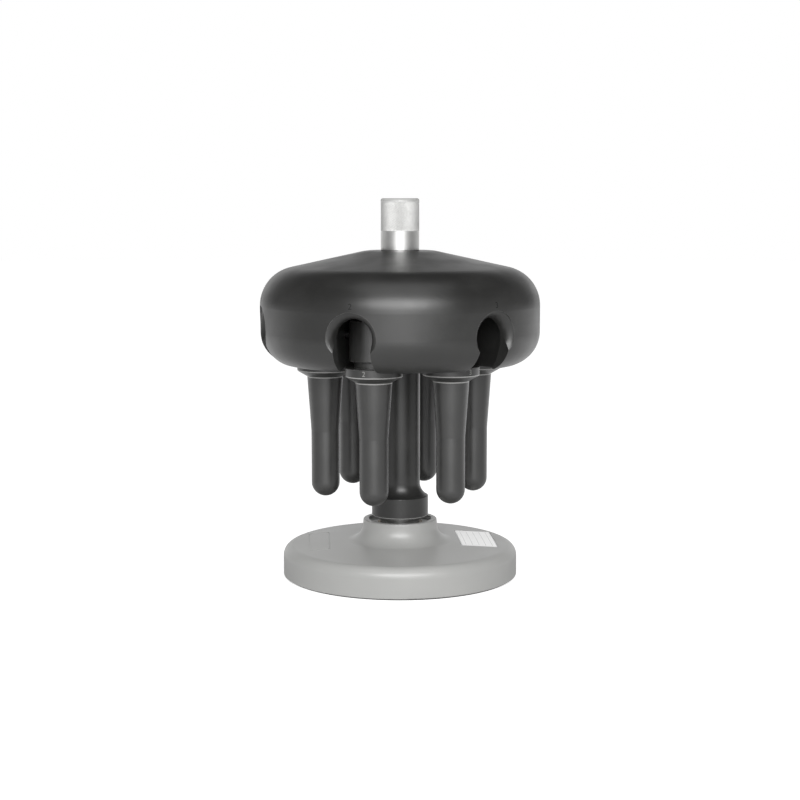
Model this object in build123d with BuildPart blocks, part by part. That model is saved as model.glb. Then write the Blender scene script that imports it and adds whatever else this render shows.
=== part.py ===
from build123d import *
import math
import os

# Swing out rotor for an ultracentrifuge, standing on its bench stand.
# Millimetres, +Z up, origin on the bench under the rotor's axis, front at -Y.
# Six buckets hang from pins inside a domed body and swing up until they point outwards.

# ---- driving dimensions: what a bucket holds and how the buckets are set out
TUBE_DIA = 14.0
TUBE_LENGTH = 95.0
BUCKETS = 6
FIRST_ANGLE = -170.5  # place of bucket 1, degrees from +X
PITCH_R = 50.1  # rotor axis to hanger pin axis
NECK_DROP = 12.5  # hanger pin axis down to the mouth of a bucket

# ---- clearances
RUN = 0.05  # turning fit, radial
SEAT = 0.02  # parts that are pressed or screwed together, radial
EASE = 0.5  # swinging pieces to the cavity walls
TUBE_FIT = 0.25  # tube to bucket bore, radial
OVER = 1.0  # how far a cutter runs past a face

# ---- bench stand
BASE_R = 78.0
BASE_SIDE = 20.25  # height at which the side and the sloping top would meet
BASE_ROUND = 7.0
BASE_SLOPE = 4.0  # fall of the top, degrees
BASE_EDGE = 0.6
FOOT_PROUD = 0.8  # foot ring below the base
FOOT_WIDTH, FOOT_DEPTH, FOOT_EDGE = 3.0, 1.6, 0.4
HUB_R = 24.5
HUB_TOP = 37.7
HUB_DRAFT = 1.0  # how much wider the hub is at its foot, radial
HUB_FLARE = 11.0
HUB_LIP = 3.5  # wall round the recess in the hub's top
HUB_RECESS, HUB_EDGE = 2.5, 0.9
PLATE_THICK, PLATE_LEDGE = 2.0, 6.0
PLATE_INSET = 0.4  # bottom plate above the base's lower edge
BALLAST_IN, BALLAST_THICK = 24.0, 12.6
SCREWS, SCREW_R, SCREW_HEAD_R = 6, 1.5, 2.8
SCREW_LENGTH, SCREW_SPARE = 8.0, 1.0  # hole above the plate, and what the screw leaves of it
LABEL_INSET, LABEL_BACK = 26.6, 7.5  # middle of the label, in from the rim and to the back
LABEL_WIDE, LABEL_LONG, LABEL_THICK = 24.2, 51.0, 0.25
LABEL_CORNER, LABEL_GAP, LABEL_SUNK = 0.9, 0.3, 0.1
BADGE_INSET, BADGE_BACK = 23.8, 2.0  # the same for the outline on the left
BADGE_WIDE, BADGE_LONG, BADGE_CORNER = 14.0, 56.0, 2.5
BADGE_LINE, BADGE_DEPTH = 0.8, 0.35
PATCH_TURN = 2.5  # both patches stand a little askew, degrees

# ---- spindle of the stand
SPINDLE_R, SPINDLE_EDGE = 8.0, 0.8
SPINDLE_TAIL = 2.4  # shaft below the clip
BUSH_WALL, BUSH_FLANGE_R, BUSH_FLANGE = 3.0, 15.0, 2.0
BUSH_LENGTH = 20.2
SHOULDER_R, SHOULDER_HIGH = 13.2, 4.65
NOSE_R, NOSE_HIGH, NOSE_EDGE = 7.0, 25.0, 1.5
NOSE_ROOM = 1.0  # over the nose inside the adapter
CLIP_R, CLIP_THICK, CLIP_BITE = 11.0, 1.2, 0.8
CLIP_GAP, CLIP_MOUTH, CLIP_ROOM = 0.15, 8.8, 4.0  # to the bush, its opening, room round it
DRIVE_PIN_R, DRIVE_PIN_UP, DRIVE_PIN_DOWN = 1.5, 5.0, 3.5
DRIVE_PIN_PITCH = 10.2
PIN_EDGE = 0.4

# ---- adapter: the stem that carries the body
TIP_OVER_SEAT = 14.65  # foot of the adapter up to the tips of the hanging buckets
FLANGE_R, FLANGE_HIGH, FLANGE_EDGE = 18.8, 13.3, 0.5
STEM_R, STEM_FLARE_HIGH = 13.3, 8.6
SPIGOT_R, SPIGOT_HIGH = 9.0, 24.0
DOWEL_R, DOWEL_LENGTH = 1.25, 8.0
DISK_IN, DISK_OUT, DISK_THICK = 13.5, 18.1, 0.6

# ---- body
BODY_RIM = 42.1  # hanger pin axis to the body's outside
BODY_UNDER = 21.5  # pin axis down to the underside
BAND_LOW, BAND_TOP = -1.0, 15.9  # upright band, from the pin axis
SHOULDER_ARC = 25.5
UNDER_INSET, UNDER_EDGE = 14.2, 1.0  # where the rounded lower edge meets the underside
DOME_SLOPE = 12.4  # degrees
BODY_TOP = 51.8  # pin axis up to the flat under the handle
DOME_BLEND = 30.0
CAVITY_UP = 19.1  # pin axis up to the cavity roof
MOUTH_R, MOUTH_LIP, MOUTH_DEPTH = 16.5, 1.5, 6.0  # bell mouth of an arch

# ---- hanger pins
PIN_R = 3.0
PIN_BITE = 5.5  # length held in each web

# ---- handle and its stud
HANDLE_R, HANDLE_HIGH, HANDLE_EDGE = 12.65, 34.0, 1.6
STUD_R, STUD_IN_STEM, STUD_IN_HANDLE = 4.0, 20.0, 24.0
STUD_GAP, STUD_EDGE = 0.3, 0.6

# ---- bucket
WALL = 2.05
TAPER_R = 11.8  # outside radius under the shoulder
TAPER_LENGTH = 36.2
COLLAR_R, COLLAR_HIGH, COLLAR_DROP = 18.3, 5.8, 20.7
COLLAR_SLOPE_HIGH = 3.8
COLLAR_EDGE = 0.4
NECK_R, NECK_OVER_TUBE = 12.6, 0.45
LUGS = (90, 270)  # on the bucket, degrees
LUG_OUT, LUG_HIGH, LUG_ANGLE = 1.4, 1.8, 30.0
LUG_PLAY, LUG_EASE_ANGLE, LUG_LIP = 0.3, 2.0, 1.4
TURN = 90.0  # quarter turn of the bayonet

# ---- cap
CAP_R, CAP_UP, CAP_EDGE = 15.5, 9.5, 0.6
CAP_SKIRT_GAP = 4.0  # groove between collar and cap
CAP_GAP = 0.6  # neck to the inside of the cap
SEAL_R, SEAL_WIDE, SEAL_HIGH, SEAL_EDGE = 10.0, 1.6, 1.6, 0.4
HOOK_DROP, HOOK_EASE = 4.4, 0.4  # entry of the hook below the pin's seat

# ---- sizes and heights worked out from the above
BODY_R = PITCH_R + BODY_RIM
UNDER_R = BODY_R - UNDER_INSET
PLATE_R = BASE_R - PLATE_LEDGE
SWING_R = NECK_DROP + NECK_OVER_TUBE + TUBE_LENGTH + WALL  # hanger pin axis to a bucket's tip
PLATE_Z = FOOT_PROUD + PLATE_INSET
BALLAST_Z = PLATE_Z + PLATE_THICK
RECESS_Z = HUB_TOP - HUB_RECESS
BUSH_Z = RECESS_Z - BUSH_LENGTH
SEAT_Z = RECESS_Z + RUN + SHOULDER_HIGH  # underside of the adapter on the spindle
STEM_Z = SEAT_Z + FLANGE_HIGH
PIN_Z = SEAT_Z + TIP_OVER_SEAT + SWING_R
UNDER_Z = PIN_Z - BODY_UNDER
TOP_Z = PIN_Z + BODY_TOP
TIP_Z = PIN_Z - SWING_R
BORE_R = TUBE_DIA / 2 + TUBE_FIT
TUBE_R = BORE_R + WALL
NECK_TOP = PIN_Z - NECK_DROP
COLLAR_TOP = PIN_Z - COLLAR_DROP
COLLAR_LOW = COLLAR_TOP - COLLAR_HIGH
TAPER_TOP = COLLAR_LOW - COLLAR_SLOPE_HIGH
CAP_LOW = COLLAR_TOP + CAP_SKIRT_GAP
CAVITY_HALF = COLLAR_R + EASE
CAVITY_SWEEP = math.hypot(COLLAR_R, PIN_Z - COLLAR_LOW) + EASE
SLOT_HALF = TAPER_R + EASE
HUB_BORE_R = SPINDLE_R + RUN + BUSH_WALL
BASE_TAN = math.tan(math.radians(BASE_SLOPE))


def cone_z(r):
    """Height of the stand's sloping top at a radius."""
    return BASE_SIDE + (BASE_R - r) * BASE_TAN


def near(items, x, y):
    """The corner of a sketch that lies closest to a place."""
    return items.sort_by_distance((x, y))[0]


def save(item, name):
    """Names a finished piece and writes it."""
    item.label = name
    export_step(item, f"parts/{name}.step")


def bucket_axes():
    """Places of the buckets, each turned so that its X points outwards."""
    return PolarLocations(0, BUCKETS, start_angle=FIRST_ANGLE)


os.makedirs("parts", exist_ok=True)

# ================================================================ bench stand
foot_mid = BASE_R - PLATE_LEDGE / 2
hub_foot = HUB_R + HUB_DRAFT
recess_r = HUB_R - HUB_LIP

with BuildPart() as stand_base:
    with BuildSketch(Plane.XZ) as stand_profile:
        with BuildLine():
            Polyline(
                (0, FOOT_PROUD), (BASE_R, FOOT_PROUD), (BASE_R, BASE_SIDE),
                (hub_foot, cone_z(hub_foot)), (HUB_R, HUB_TOP), (0, HUB_TOP), close=True,
            )
        make_face()
        fillet(near(stand_profile.vertices(), BASE_R, BASE_SIDE), BASE_ROUND)
        fillet(near(stand_profile.vertices(), hub_foot, cone_z(hub_foot)), HUB_FLARE)
        fillet(near(stand_profile.vertices(), HUB_R, HUB_TOP), HUB_EDGE)
        fillet(near(stand_profile.vertices(), BASE_R, FOOT_PROUD), BASE_EDGE)
    revolve(axis=Axis.Z)
    with BuildSketch(Plane.XY.offset(RECESS_Z)):  # recess in the hub's top
        Circle(recess_r)
    extrude(amount=HUB_RECESS, mode=Mode.SUBTRACT)
    with BuildSketch(Plane.XY.offset(RECESS_Z)):  # seat of the bush flange
        Circle(BUSH_FLANGE_R + SEAT)
    extrude(amount=-BUSH_FLANGE, mode=Mode.SUBTRACT)
    with BuildSketch(Plane.XY.offset(RECESS_Z)):  # bore of the bush
        Circle(HUB_BORE_R + SEAT)
    extrude(amount=-RECESS_Z, mode=Mode.SUBTRACT)
    with BuildSketch(Plane.XY.offset(BUSH_Z)):  # room for the retaining clip
        Circle(CLIP_R + CLIP_ROOM)
    extrude(amount=-BUSH_Z, mode=Mode.SUBTRACT)
    with BuildSketch(Plane.XY.offset(BALLAST_Z + BALLAST_THICK + SEAT)):  # ballast chamber
        Circle(PLATE_R - PLATE_LEDGE)
        Circle(BALLAST_IN, mode=Mode.SUBTRACT)
    extrude(amount=-(BALLAST_Z + BALLAST_THICK), mode=Mode.SUBTRACT)
    with BuildSketch(Plane.XY.offset(BALLAST_Z)):  # seat of the bottom plate
        Circle(PLATE_R + SEAT)
    extrude(amount=-BALLAST_Z, mode=Mode.SUBTRACT)
    with BuildSketch(Plane.XY.offset(FOOT_PROUD)):  # groove of the foot ring
        Circle(foot_mid + FOOT_WIDTH / 2)
        Circle(foot_mid - FOOT_WIDTH / 2, mode=Mode.SUBTRACT)
    extrude(amount=FOOT_DEPTH, mode=Mode.SUBTRACT)
    with BuildSketch(Plane.XY.offset(BALLAST_Z)):  # screw holes
        with PolarLocations(PLATE_R - PLATE_LEDGE / 2, SCREWS):
            Circle(SCREW_R + SEAT)
    extrude(amount=SCREW_LENGTH, mode=Mode.SUBTRACT)


def top_skin(place, wide, long, corner, low, high, line=0):
    """A patch of the sloping top between two depths; with a line width, only its outline."""
    with BuildPart() as patch:
        with BuildSketch(Plane.XZ):
            with BuildLine():
                Polyline(
                    (0, cone_z(0) + low), (BASE_R, cone_z(BASE_R) + low),
                    (BASE_R, cone_z(BASE_R) + high), (0, cone_z(0) + high), close=True,
                )
            make_face()
        revolve(axis=Axis.Z)
        with BuildSketch():
            with Locations(Location((*place, 0), (0, 0, PATCH_TURN))):
                RectangleRounded(wide, long, corner)
                if line:
                    RectangleRounded(wide - 2 * line, long - 2 * line, corner - line,
                                     mode=Mode.SUBTRACT)
        extrude(amount=2 * BASE_R, mode=Mode.INTERSECT)
    return patch.part


label_at = (BASE_R - LABEL_INSET, LABEL_BACK)
badge_at = (BADGE_INSET - BASE_R, BADGE_BACK)
label_floor = -LABEL_THICK - LABEL_SUNK
label_hole = top_skin(label_at, LABEL_WIDE + 2 * LABEL_GAP, LABEL_LONG + 2 * LABEL_GAP,
                      LABEL_CORNER + LABEL_GAP, label_floor, OVER)
badge_line = top_skin(badge_at, BADGE_WIDE, BADGE_LONG, BADGE_CORNER,
                      -BADGE_DEPTH, OVER, BADGE_LINE)
with stand_base:
    add(label_hole, mode=Mode.SUBTRACT)
    add(badge_line, mode=Mode.SUBTRACT)
save(stand_base.part, "stand_base")

label_plate = top_skin(label_at, LABEL_WIDE, LABEL_LONG, LABEL_CORNER,
                       label_floor, label_floor + LABEL_THICK)
save(label_plate, "label_plate")

with BuildPart() as foot_ring:
    with BuildSketch():
        Circle(foot_mid + FOOT_WIDTH / 2 - SEAT)
        Circle(foot_mid - FOOT_WIDTH / 2 + SEAT, mode=Mode.SUBTRACT)
    extrude(amount=FOOT_PROUD + FOOT_DEPTH)
    fillet(foot_ring.edges().group_by(Axis.Z)[0], FOOT_EDGE)
save(foot_ring.part, "foot_ring")

with BuildPart() as bottom_plate:
    with BuildSketch(Plane.XY.offset(PLATE_Z)):
        Circle(PLATE_R)
    extrude(amount=PLATE_THICK)
    with Locations((0, 0, PLATE_Z)):
        with PolarLocations(PLATE_R - PLATE_LEDGE / 2, SCREWS):
            with Locations(Rotation(180, 0, 0)):
                CounterSinkHole(SCREW_R + SEAT, SCREW_HEAD_R, depth=PLATE_THICK)
save(bottom_plate.part, "bottom_plate")

with BuildPart() as ballast_ring:
    with BuildSketch(Plane.XY.offset(BALLAST_Z)):
        Circle(PLATE_R - PLATE_LEDGE - EASE)
        Circle(BALLAST_IN + EASE, mode=Mode.SUBTRACT)
    extrude(amount=BALLAST_THICK)
save(ballast_ring.part, "ballast_ring")

with BuildPart() as plate_screws:
    with PolarLocations(PLATE_R - PLATE_LEDGE / 2, SCREWS):
        with Locations((0, 0, PLATE_Z)):
            Cone(SCREW_HEAD_R - SEAT, SCREW_R, SCREW_HEAD_R - SCREW_R,
                 align=(Align.CENTER, Align.CENTER, Align.MIN))
            Cylinder(SCREW_R, PLATE_THICK + SCREW_LENGTH - SCREW_SPARE,
                     align=(Align.CENTER, Align.CENTER, Align.MIN))
save(plate_screws.part, "plate_screws")

with BuildPart() as spindle_bush:
    with BuildSketch(Plane.XY.offset(BUSH_Z)):
        Circle(HUB_BORE_R)
    extrude(amount=BUSH_LENGTH)
    with BuildSketch(Plane.XY.offset(RECESS_Z)):
        Circle(BUSH_FLANGE_R)
    extrude(amount=-BUSH_FLANGE)
    with Locations((0, 0, RECESS_Z)):
        Hole(SPINDLE_R + RUN)
save(spindle_bush.part, "spindle_bush")

# ================================================================ spindle
clip_z = BUSH_Z - CLIP_GAP - CLIP_THICK
clip_groove_r = SPINDLE_R - CLIP_BITE
shaft_z = clip_z - SPINDLE_TAIL

with BuildPart() as spindle:
    with BuildSketch(Plane.XZ) as spindle_profile:
        with BuildLine():
            Polyline(
                (0, shaft_z), (SPINDLE_R, shaft_z), (SPINDLE_R, clip_z - SEAT),
                (clip_groove_r, clip_z - SEAT), (clip_groove_r, clip_z + CLIP_THICK + SEAT),
                (SPINDLE_R, clip_z + CLIP_THICK + SEAT), (SPINDLE_R, RECESS_Z + RUN),
                (SHOULDER_R, RECESS_Z + RUN), (SHOULDER_R, SEAT_Z), (NOSE_R, SEAT_Z),
                (NOSE_R, SEAT_Z + NOSE_HIGH), (0, SEAT_Z + NOSE_HIGH), close=True,
            )
        make_face()
        chamfer(near(spindle_profile.vertices(), NOSE_R, SEAT_Z + NOSE_HIGH), NOSE_EDGE)
        chamfer(near(spindle_profile.vertices(), SPINDLE_R, shaft_z), SPINDLE_EDGE)
    revolve(axis=Axis.Z)
    with BuildSketch(Plane.XY.offset(SEAT_Z)):  # holes of the drive pins
        with PolarLocations(DRIVE_PIN_PITCH, 2):
            Circle(DRIVE_PIN_R + SEAT)
    extrude(amount=-DRIVE_PIN_DOWN, mode=Mode.SUBTRACT)
save(spindle.part, "spindle")

with BuildPart() as drive_pins:
    with BuildSketch(Plane.XY.offset(SEAT_Z - DRIVE_PIN_DOWN)):
        with PolarLocations(DRIVE_PIN_PITCH, 2):
            Circle(DRIVE_PIN_R)
    extrude(amount=DRIVE_PIN_DOWN + DRIVE_PIN_UP)
    chamfer(drive_pins.edges().group_by(Axis.Z)[-1], PIN_EDGE)
save(drive_pins.part, "drive_pins")

with BuildPart() as spindle_clip:
    with BuildSketch(Plane.XY.offset(clip_z)):
        Circle(CLIP_R)
        Circle(clip_groove_r + SEAT, mode=Mode.SUBTRACT)
        with Locations((CLIP_R, 0)):
            Rectangle(2 * CLIP_R, CLIP_MOUTH, mode=Mode.SUBTRACT)
    extrude(amount=CLIP_THICK)
save(spindle_clip.part, "spindle_clip")

# ================================================================ adapter
spigot_top = UNDER_Z + SPIGOT_HIGH
dowel_pitch = (SPIGOT_R + STEM_R) / 2

with BuildPart() as rotor_adapter:
    with BuildSketch(Plane.XZ) as stem_profile:
        with BuildLine():
            Polyline(
                (STEM_R, STEM_Z + STEM_FLARE_HIGH), (STEM_R, UNDER_Z), (SPIGOT_R, UNDER_Z),
                (SPIGOT_R, spigot_top), (0, spigot_top), (0, SEAT_Z), (FLANGE_R, SEAT_Z),
                (FLANGE_R, STEM_Z),
            )
            TangentArc((STEM_R, STEM_Z + STEM_FLARE_HIGH), (FLANGE_R, STEM_Z), tangent=(0, -1))
        make_face()
        chamfer(near(stem_profile.vertices(), FLANGE_R, SEAT_Z), FLANGE_EDGE)
        chamfer(near(stem_profile.vertices(), SPIGOT_R, spigot_top), FLANGE_EDGE)
        fillet(near(stem_profile.vertices(), FLANGE_R, STEM_Z), FLANGE_EDGE)
    revolve(axis=Axis.Z)
    with BuildSketch(Plane.XY.offset(SEAT_Z)):  # bore for the spindle's nose
        Circle(NOSE_R + RUN)
    extrude(amount=NOSE_HIGH + NOSE_ROOM, mode=Mode.SUBTRACT)
    with BuildSketch(Plane.XY.offset(SEAT_Z)):  # holes for the drive pins
        with PolarLocations(DRIVE_PIN_PITCH, 2):
            Circle(DRIVE_PIN_R + RUN)
    extrude(amount=DRIVE_PIN_UP + EASE, mode=Mode.SUBTRACT)
    with BuildSketch(Plane.XY.offset(SEAT_Z)):  # seat of the overspeed disk
        Circle(DISK_OUT + SEAT)
        Circle(DISK_IN - SEAT, mode=Mode.SUBTRACT)
    extrude(amount=DISK_THICK + 2 * RUN, mode=Mode.SUBTRACT)
    with BuildSketch(Plane.XY.offset(spigot_top)):  # thread of the stud
        Circle(STUD_R + SEAT)
    extrude(amount=-STUD_IN_STEM, mode=Mode.SUBTRACT)
    with BuildSketch(Plane.XY.offset(UNDER_Z)):  # dowel holes
        with PolarLocations(dowel_pitch, 2):
            Circle(DOWEL_R + SEAT)
    extrude(amount=-DOWEL_LENGTH / 2, mode=Mode.SUBTRACT)
save(rotor_adapter.part, "rotor_adapter")

with BuildPart() as overspeed_disk:
    with BuildSketch(Plane.XY.offset(SEAT_Z + 2 * RUN)):
        Circle(DISK_OUT)
        Circle(DISK_IN, mode=Mode.SUBTRACT)
    extrude(amount=DISK_THICK)
save(overspeed_disk.part, "overspeed_disk")

with BuildPart() as adapter_dowels:
    with BuildSketch(Plane.XY.offset(UNDER_Z - DOWEL_LENGTH / 2)):
        with PolarLocations(dowel_pitch, 2):
            Circle(DOWEL_R)
    extrude(amount=DOWEL_LENGTH)
save(adapter_dowels.part, "adapter_dowels")

# ================================================================ body
band_low, band_high = PIN_Z + BAND_LOW, PIN_Z + BAND_TOP
dome_turn = math.radians(DOME_SLOPE)
dome_r = BODY_R - SHOULDER_ARC * (1 - math.sin(dome_turn))
dome_z = band_high + SHOULDER_ARC * math.cos(dome_turn)
flat_r = dome_r - (TOP_Z - dome_z) / math.tan(dome_turn)
mouth_out = BODY_R - MOUTH_LIP

# Everything that one bucket needs cut out of the body, with its X pointing outwards
with BuildPart() as pocket:
    with BuildSketch(Plane.XY.offset(UNDER_Z - OVER)):  # room round the hanging cap
        with Locations((PITCH_R, 0)):
            Circle(CAVITY_HALF)
    extrude(amount=BODY_UNDER + CAVITY_UP + OVER)
    with BuildSketch(Plane.XZ):  # room for the collar as it swings up
        with Locations((PITCH_R, PIN_Z)):
            Circle(CAVITY_SWEEP)
        with Locations((PITCH_R, PIN_Z + CAVITY_UP)):
            Rectangle(2 * CAVITY_SWEEP, 3 * CAVITY_SWEEP,
                      align=(Align.MIN, Align.MAX), mode=Mode.INTERSECT)
    extrude(amount=CAVITY_HALF, both=True)
    with BuildSketch(Plane.YZ.offset(PITCH_R)):  # arched slot that the bucket swings through
        with Locations((0, PIN_Z)):
            Circle(SLOT_HALF)
            Rectangle(2 * SLOT_HALF, BODY_UNDER + OVER, align=(Align.CENTER, Align.MAX))
    extrude(amount=BODY_R)
    with BuildSketch(Plane.XZ):  # bell mouth round the arch
        with BuildLine():
            TangentArc((mouth_out - MOUTH_DEPTH, PIN_Z + SLOT_HALF), (mouth_out, PIN_Z + MOUTH_R),
                       tangent=(1, 0))
            Polyline(
                (mouth_out, PIN_Z + MOUTH_R), (BODY_R + OVER, PIN_Z + MOUTH_R),
                (BODY_R + OVER, PIN_Z),
                (mouth_out - MOUTH_DEPTH, PIN_Z), (mouth_out - MOUTH_DEPTH, PIN_Z + SLOT_HALF),
            )
        make_face()
    revolve(axis=Axis((0, 0, PIN_Z), (1, 0, 0)))
    with Locations((PITCH_R, 0, PIN_Z)):  # holes of the hanger pin
        Cylinder(PIN_R + SEAT, 2 * (CAVITY_HALF + PIN_BITE + SEAT), rotation=(90, 0, 0))

with BuildPart() as rotor_body:
    with BuildSketch(Plane.XZ) as body_profile:
        with BuildLine():
            TangentArc((BODY_R, band_low), (UNDER_R, UNDER_Z), tangent=(0, -1))
            Polyline((UNDER_R, UNDER_Z), (0, UNDER_Z), (0, TOP_Z), (flat_r, TOP_Z), (dome_r, dome_z))
            TangentArc((BODY_R, band_high), (dome_r, dome_z), tangent=(0, 1))
            Line((BODY_R, band_high), (BODY_R, band_low))
        make_face()
        fillet(near(body_profile.vertices(), flat_r, TOP_Z), DOME_BLEND)
        fillet(near(body_profile.vertices(), UNDER_R, UNDER_Z), UNDER_EDGE)
    revolve(axis=Axis.Z)
    with BuildSketch(Plane.XY.offset(UNDER_Z)):  # bore of the adapter's spigot
        Circle(SPIGOT_R + SEAT)
    extrude(amount=SPIGOT_HIGH + EASE, mode=Mode.SUBTRACT)
    with BuildSketch(Plane.XY.offset(TOP_Z)):  # stud hole
        Circle(STUD_R + STUD_GAP)
    extrude(amount=UNDER_Z - TOP_Z, mode=Mode.SUBTRACT)
    with BuildSketch(Plane.XY.offset(UNDER_Z)):  # dowel holes
        with PolarLocations(dowel_pitch, 2):
            Circle(DOWEL_R + SEAT)
    extrude(amount=DOWEL_LENGTH / 2, mode=Mode.SUBTRACT)
    with bucket_axes():
        add(pocket.part, mode=Mode.SUBTRACT)
save(rotor_body.part, "rotor_body")

with BuildPart() as hanger_pins:
    with bucket_axes():
        with Locations((PITCH_R, 0, PIN_Z)):
            Cylinder(PIN_R, 2 * (CAVITY_HALF + PIN_BITE), rotation=(90, 0, 0))
    chamfer(hanger_pins.edges().filter_by(GeomType.CIRCLE), PIN_EDGE)
save(hanger_pins.part, "hanger_pins")

# ================================================================ handle
with BuildPart() as rotor_handle:
    with BuildSketch(Plane.XY.offset(TOP_Z)):
        Circle(HANDLE_R)
    extrude(amount=HANDLE_HIGH)
    fillet(rotor_handle.edges().group_by(Axis.Z)[-1], HANDLE_EDGE)
    with BuildSketch(Plane.XY.offset(TOP_Z)):  # thread of the stud
        Circle(STUD_R + SEAT)
    extrude(amount=STUD_IN_HANDLE, mode=Mode.SUBTRACT)
save(rotor_handle.part, "rotor_handle")

with BuildPart() as handle_stud:
    with BuildSketch(Plane.XY.offset(spigot_top - STUD_IN_STEM)):
        Circle(STUD_R)
    extrude(amount=TOP_Z + STUD_IN_HANDLE - spigot_top + STUD_IN_STEM)
    chamfer(handle_stud.edges().filter_by(GeomType.CIRCLE), STUD_EDGE)
save(handle_stud.part, "handle_stud")

# ================================================================ buckets and caps
lug_low = CAP_LOW + LUG_LIP
ceiling_z = NECK_TOP + CAP_GAP
seal_z = NECK_TOP + RUN
cap_top = PIN_Z + CAP_UP
lug_reach = NECK_R + LUG_OUT
slot_angle = LUG_ANGLE + 2 * LUG_EASE_ANGLE


def sector(radius, start, span):
    """A slice of a disk."""
    with BuildSketch() as slice_of_disk:
        with BuildLine():
            rim = CenterArc((0, 0), radius, start, span)
            Polyline(rim @ 1, (0, 0), rim @ 0)
        make_face()
    return slice_of_disk.sketch


# One bucket, hanging on the Z axis
with BuildPart() as bucket:
    with BuildSketch(Plane.XZ) as bucket_profile:
        with BuildLine():
            TangentArc((TUBE_R, TIP_Z + TUBE_R), (0, TIP_Z), tangent=(0, -1))
            Polyline(
                (0, TIP_Z), (0, NECK_TOP), (NECK_R, NECK_TOP), (NECK_R, COLLAR_TOP),
                (COLLAR_R, COLLAR_TOP), (COLLAR_R, COLLAR_LOW), (TAPER_R, TAPER_TOP),
                (TUBE_R, TAPER_TOP - TAPER_LENGTH), (TUBE_R, TIP_Z + TUBE_R),
            )
        make_face()
        chamfer(near(bucket_profile.vertices(), COLLAR_R, COLLAR_TOP), COLLAR_EDGE)
        chamfer(near(bucket_profile.vertices(), COLLAR_R, COLLAR_LOW), COLLAR_EDGE)
        fillet(near(bucket_profile.vertices(), TAPER_R, TAPER_TOP), COLLAR_EDGE)
        chamfer(near(bucket_profile.vertices(), NECK_R, NECK_TOP), COLLAR_EDGE)
    revolve(axis=Axis.Z)
    with BuildSketch(Plane.XZ):  # bore for the tube
        with BuildLine():
            TangentArc((BORE_R, TIP_Z + TUBE_R), (0, TIP_Z + WALL), tangent=(0, -1))
            Polyline(
                (0, TIP_Z + WALL), (0, NECK_TOP), (BORE_R, NECK_TOP), (BORE_R, TIP_Z + TUBE_R),
            )
        make_face()
    revolve(axis=Axis.Z, mode=Mode.SUBTRACT)
    with BuildSketch(Plane.XY.offset(lug_low)):  # bayonet lugs
        for lug in LUGS:
            add(sector(lug_reach, lug - LUG_ANGLE / 2, LUG_ANGLE))
        Circle((BORE_R + NECK_R) / 2, mode=Mode.SUBTRACT)
    extrude(amount=LUG_HIGH)

# The cap over it: skirt with bayonet slots, seal groove, and the hook cut into its top
with BuildPart() as cap:
    with BuildSketch(Plane.XY.offset(CAP_LOW)):
        Circle(CAP_R)
    extrude(amount=cap_top - CAP_LOW)
    chamfer(cap.edges().filter_by(GeomType.CIRCLE), CAP_EDGE)
    with BuildSketch(Plane.XY.offset(CAP_LOW)):  # inside of the skirt
        Circle(NECK_R + LUG_PLAY)
    extrude(amount=ceiling_z - CAP_LOW, mode=Mode.SUBTRACT)
    with BuildSketch(Plane.XY.offset(ceiling_z)):  # seal groove
        Circle(SEAL_R + SEAL_WIDE / 2 + SEAT)
        Circle(SEAL_R - SEAL_WIDE / 2 - SEAT, mode=Mode.SUBTRACT)
    extrude(amount=seal_z + SEAL_HIGH - ceiling_z, mode=Mode.SUBTRACT)
    for locked in LUGS:
        entry = locked + TURN - slot_angle / 2
        with BuildSketch(Plane.XY.offset(CAP_LOW)):  # way in for a lug
            add(sector(lug_reach + LUG_PLAY, entry, slot_angle))
        extrude(amount=LUG_LIP + LUG_HIGH + LUG_PLAY, mode=Mode.SUBTRACT)
        with BuildSketch(Plane.XY.offset(lug_low - LUG_PLAY)):  # quarter turn to the lock
            add(sector(lug_reach + LUG_PLAY, locked - slot_angle / 2, TURN + slot_angle))
        extrude(amount=LUG_HIGH + 2 * LUG_PLAY, mode=Mode.SUBTRACT)
    with BuildSketch(Plane.XZ):  # hook: a seat over the pin, entered from below and inside
        with Locations((0, PIN_Z)):
            Circle(PIN_R + RUN)
            Rectangle(2 * (PIN_R + RUN), HOOK_DROP, align=(Align.CENTER, Align.MAX))
        with Locations((PIN_R + RUN, PIN_Z - HOOK_DROP)):
            Rectangle(2 * CAP_R, 2 * (PIN_R + HOOK_EASE), align=(Align.MAX, Align.CENTER))
    extrude(amount=CAP_R, both=True, mode=Mode.SUBTRACT)

with BuildPart() as seal:
    with BuildSketch(Plane.XY.offset(seal_z)):
        Circle(SEAL_R + SEAL_WIDE / 2)
        Circle(SEAL_R - SEAL_WIDE / 2, mode=Mode.SUBTRACT)
    extrude(amount=SEAL_HIGH)
    fillet(seal.edges().group_by(Axis.Z)[0], SEAL_EDGE)

for number, place in enumerate(bucket_axes().locations, start=1):
    axis_place = place * Location((PITCH_R, 0, 0))
    for piece, name in ((bucket, "bucket"), (cap, "bucket_cap"), (seal, "cap_seal")):
        save(piece.part.moved(axis_place), f"{name}_{number}")
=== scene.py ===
# %% [markdown]
# # Swing out rotor on its bench stand
#
# A centrifuge rotor is a heavy black body from which buckets hang by hooks. When it
# spins, the buckets swing up until they point outwards. Here it rests on a bench stand.
# The solids come from the CAD model and stay where they are. This script gives them
# their finishes, and models what the solids leave plain: the knurled grip and the
# engraved place numbers. Lengths are in metres.

import math

import bpy
from mathutils import Matrix, Vector


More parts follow.
